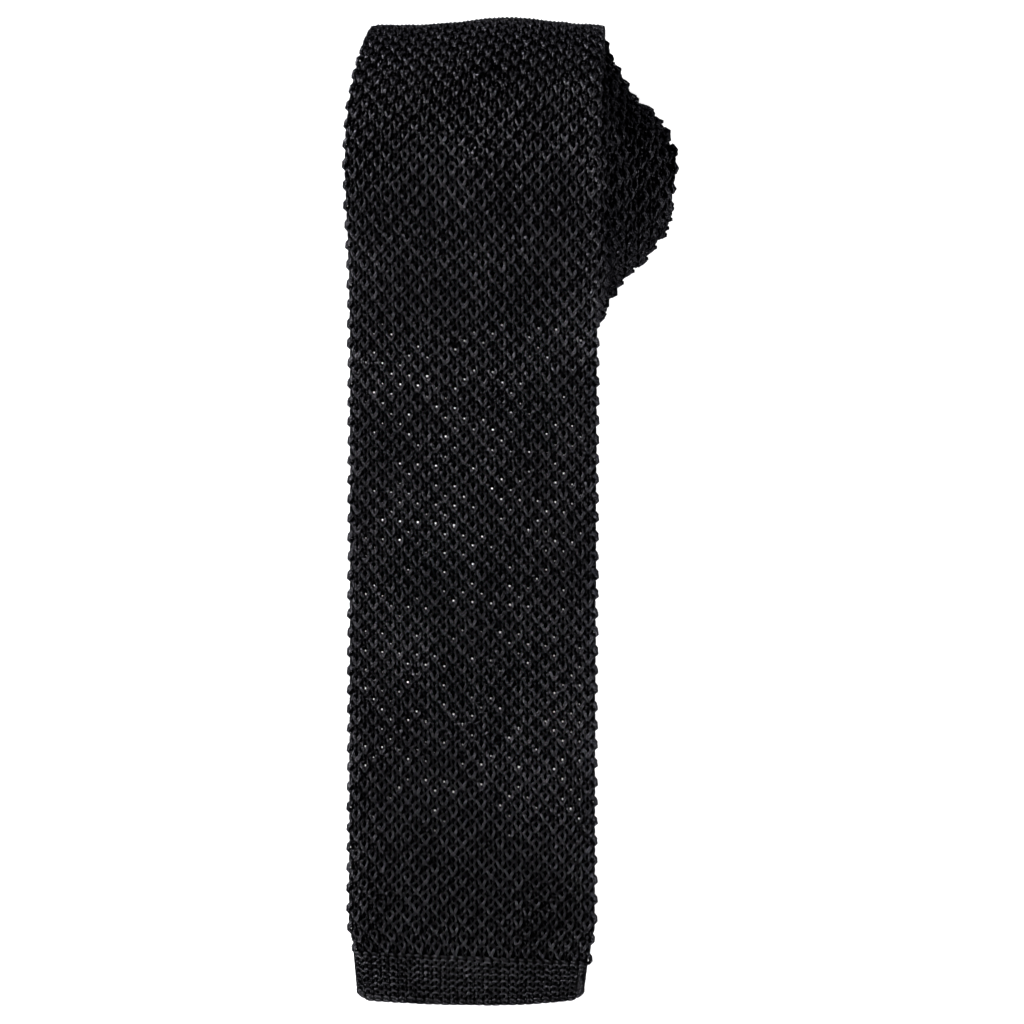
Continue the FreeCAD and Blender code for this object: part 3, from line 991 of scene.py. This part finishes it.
def hem(name, body, width, wales, nodes, at_tail=False):
    """A turned-up hem, as its dark core and its rows of arches."""
    yarns = Yarns()
    hem_rows(yarns, width, wales, at_tail)
    loops = yarns.build(name + "_loops")
    loops.data.materials.append(YARN_LOOK)
    core = hem_core(name + "_cloth", width, at_tail)
    core.data.materials.append(CORE_SHADE_LOOK)
    for piece in (loops, core):
        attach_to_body(piece, body)
    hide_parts(*nodes)
    return [core, loops]


def sewn_ribbon(node, low, high, offset, thickness, look):
    """A ribbon or label on the blade's back, inside the roll, as a thin closed sheet with rounded sides."""
    box_low, box_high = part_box(node)
    middle, half = (box_low.x + box_high.x) / 2 - BLADE_X, (box_high.x - box_low.x) / 2
    turn = np.arange(RIBBON_RING) / RIBBON_RING * 2 * math.pi
    side = np.sign(np.cos(turn)) * np.abs(np.cos(turn)) ** 0.25
    top = np.sign(np.sin(turn)) * np.abs(np.sin(turn)) ** 0.25
    rows = np.linspace(low, high, RIBBON_ROWS)
    along, across = np.meshgrid(rows, middle + half * side, indexing="ij")
    up = offset + thickness / 2 * np.broadcast_to(top, along.shape)
    points, _ = carry(across, along, up, 0 * along, 0 * along)
    quads, ends = tube_faces(RIBBON_ROWS, RIBBON_RING)
    faces = [quads.reshape(-1, 4)[:, ::-1], ends[:, ::-1]]
    ribbon = mesh_object(node + "_woven", points.reshape(-1, 3), faces)
    ribbon.data.materials.append(look)
    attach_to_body(ribbon, "roll")
    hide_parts(node)


def sewn_on():
    """The keeper loop and the care label, which the roll presses flat, and the thread that holds them."""
    ribbon_look = woven_material("black_ribbon", 1500.0, 0.5)
    label_look = woven_material("label_satin", 4000.0, 0.3)
    thread_look = woven_material("sewing_thread", 6000.0, 0.6)
    half = THICKNESS / 2
    sewn_ribbon("keeper_loop", KEEPER_AT - KEEPER_DEPTH / 2, KEEPER_AT + KEEPER_DEPTH / 2,
                -half - KEEPER_RIBBON / 2, KEEPER_RIBBON, ribbon_look)
    sewn_ribbon("care_label", LABEL_AT, LABEL_AT + LABEL_LENGTH,
                -half - LABEL_THICKNESS / 2, LABEL_THICKNESS, label_look)
    for node in ("keeper_tacks", "care_label_stitches"):
        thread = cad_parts[node]
        thread.data.materials.clear()
        thread.data.materials.append(thread_look)


# ---------------------------------------------------------------- stage


def stage():
    size = 1.6
    bpy.ops.mesh.primitive_plane_add(size=size, location=(0, 0, -0.15 * MM))
    floor = bpy.context.object
    floor.name = "floor"
    floor.data.materials.append(floor_material())

    world = bpy.data.worlds.new("studio")
    bpy.context.scene.world = world
    world.use_nodes = True
    nodes, links = world.node_tree.nodes, world.node_tree.links
    split = nodes.new("ShaderNodeSeparateXYZ")
    links.new(nodes.new("ShaderNodeTexCoord").outputs["Generated"], split.inputs[0])
    walls = color_ramp(nodes, links, split.outputs[2], [
        (0.0, (0.35, 0.35, 0.40)), (0.10, (0.10, 0.10, 0.12)), (0.3, (0.004, 0.004, 0.005))
    ])
    links.new(walls, nodes["Background"].inputs["Color"])

    def area(name, location, target, width, power, tint):
        light = bpy.data.lights.new(name, "AREA")
        light.color = tint
        light.shape = "RECTANGLE"
        light.size = width
        light.size_y = width
        light.energy = power
        lamp = bpy.data.objects.new(name, light)
        bpy.context.scene.collection.objects.link(lamp)
        lamp.location = location
        lamp.rotation_euler = (Vector(target) - Vector(location)).to_track_quat("-Z", "Y").to_euler()

    area("key", (-0.80, 0.36, 0.76), (0, 0, 0.02), 0.18, 18.5, (0.97, 0.96, 1.0))
    area("fill", (0.20, -0.78, 0.78), (0, 0, 0.02), 0.18, 8.2, (0.97, 0.96, 1.0))


def camera():
    elevation = math.radians(84.0)
    distance = 1.4
    target = Vector((0.0003, 0.0032, 0.0))
    data = bpy.data.cameras.new("camera")
    sensor = 36.0
    picture_width = 0.2509
    data.sensor_width = sensor
    data.lens = sensor * distance / picture_width
    data.clip_end = 10.0
    view = bpy.data.objects.new("camera", data)
    bpy.context.scene.collection.objects.link(view)
    view.location = target + distance * Vector((0, -math.cos(elevation), math.sin(elevation)))
    view.rotation_euler = (math.pi / 2 - elevation, 0, 0)
    bpy.context.scene.camera = view


camera()
blade()
outer_turn()
inner_turns()
sewn_on()
stage()
bpy.context.scene.view_settings.view_transform = "Standard"
